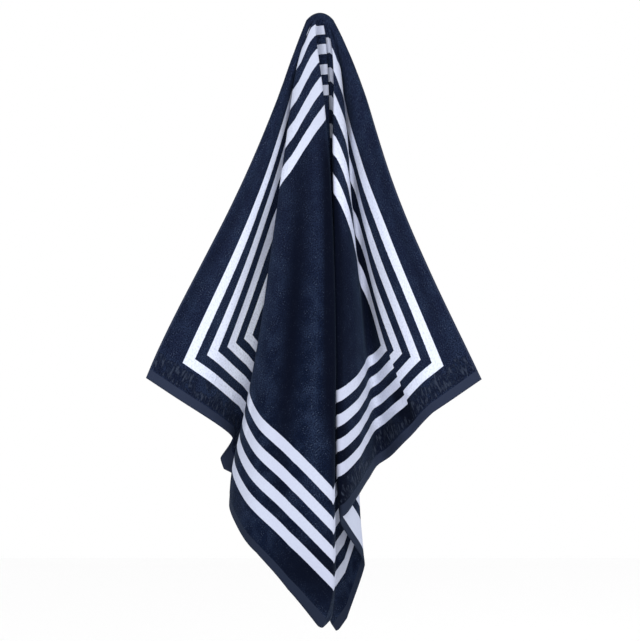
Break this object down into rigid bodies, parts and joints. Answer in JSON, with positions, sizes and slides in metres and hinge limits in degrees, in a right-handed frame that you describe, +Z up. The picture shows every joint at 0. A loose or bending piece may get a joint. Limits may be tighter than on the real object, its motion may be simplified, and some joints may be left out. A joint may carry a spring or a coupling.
{
  "type": "beach towel",
  "caption": "Beach towel with a striped border, gathered at the middle of one long side and hanging from that point in deep uneven folds.",
  "frame": {"origin": "the hang point, on top of the hump where the towel is held by the middle of one long side", "axes": "+Z up, against gravity; the towel's front looks along -Y and its long side runs along X when spread"},
  "size_m": [0.6502, 0.2962, 1.2154],
  "materials": {
    "towel_cloth": "navy velour pile with four white frame stripes and a lighter flat hem at each short end"
  },
  "bodies": {
    "root": {"towel": "towel_cloth"}
  },
  "joints": []
}
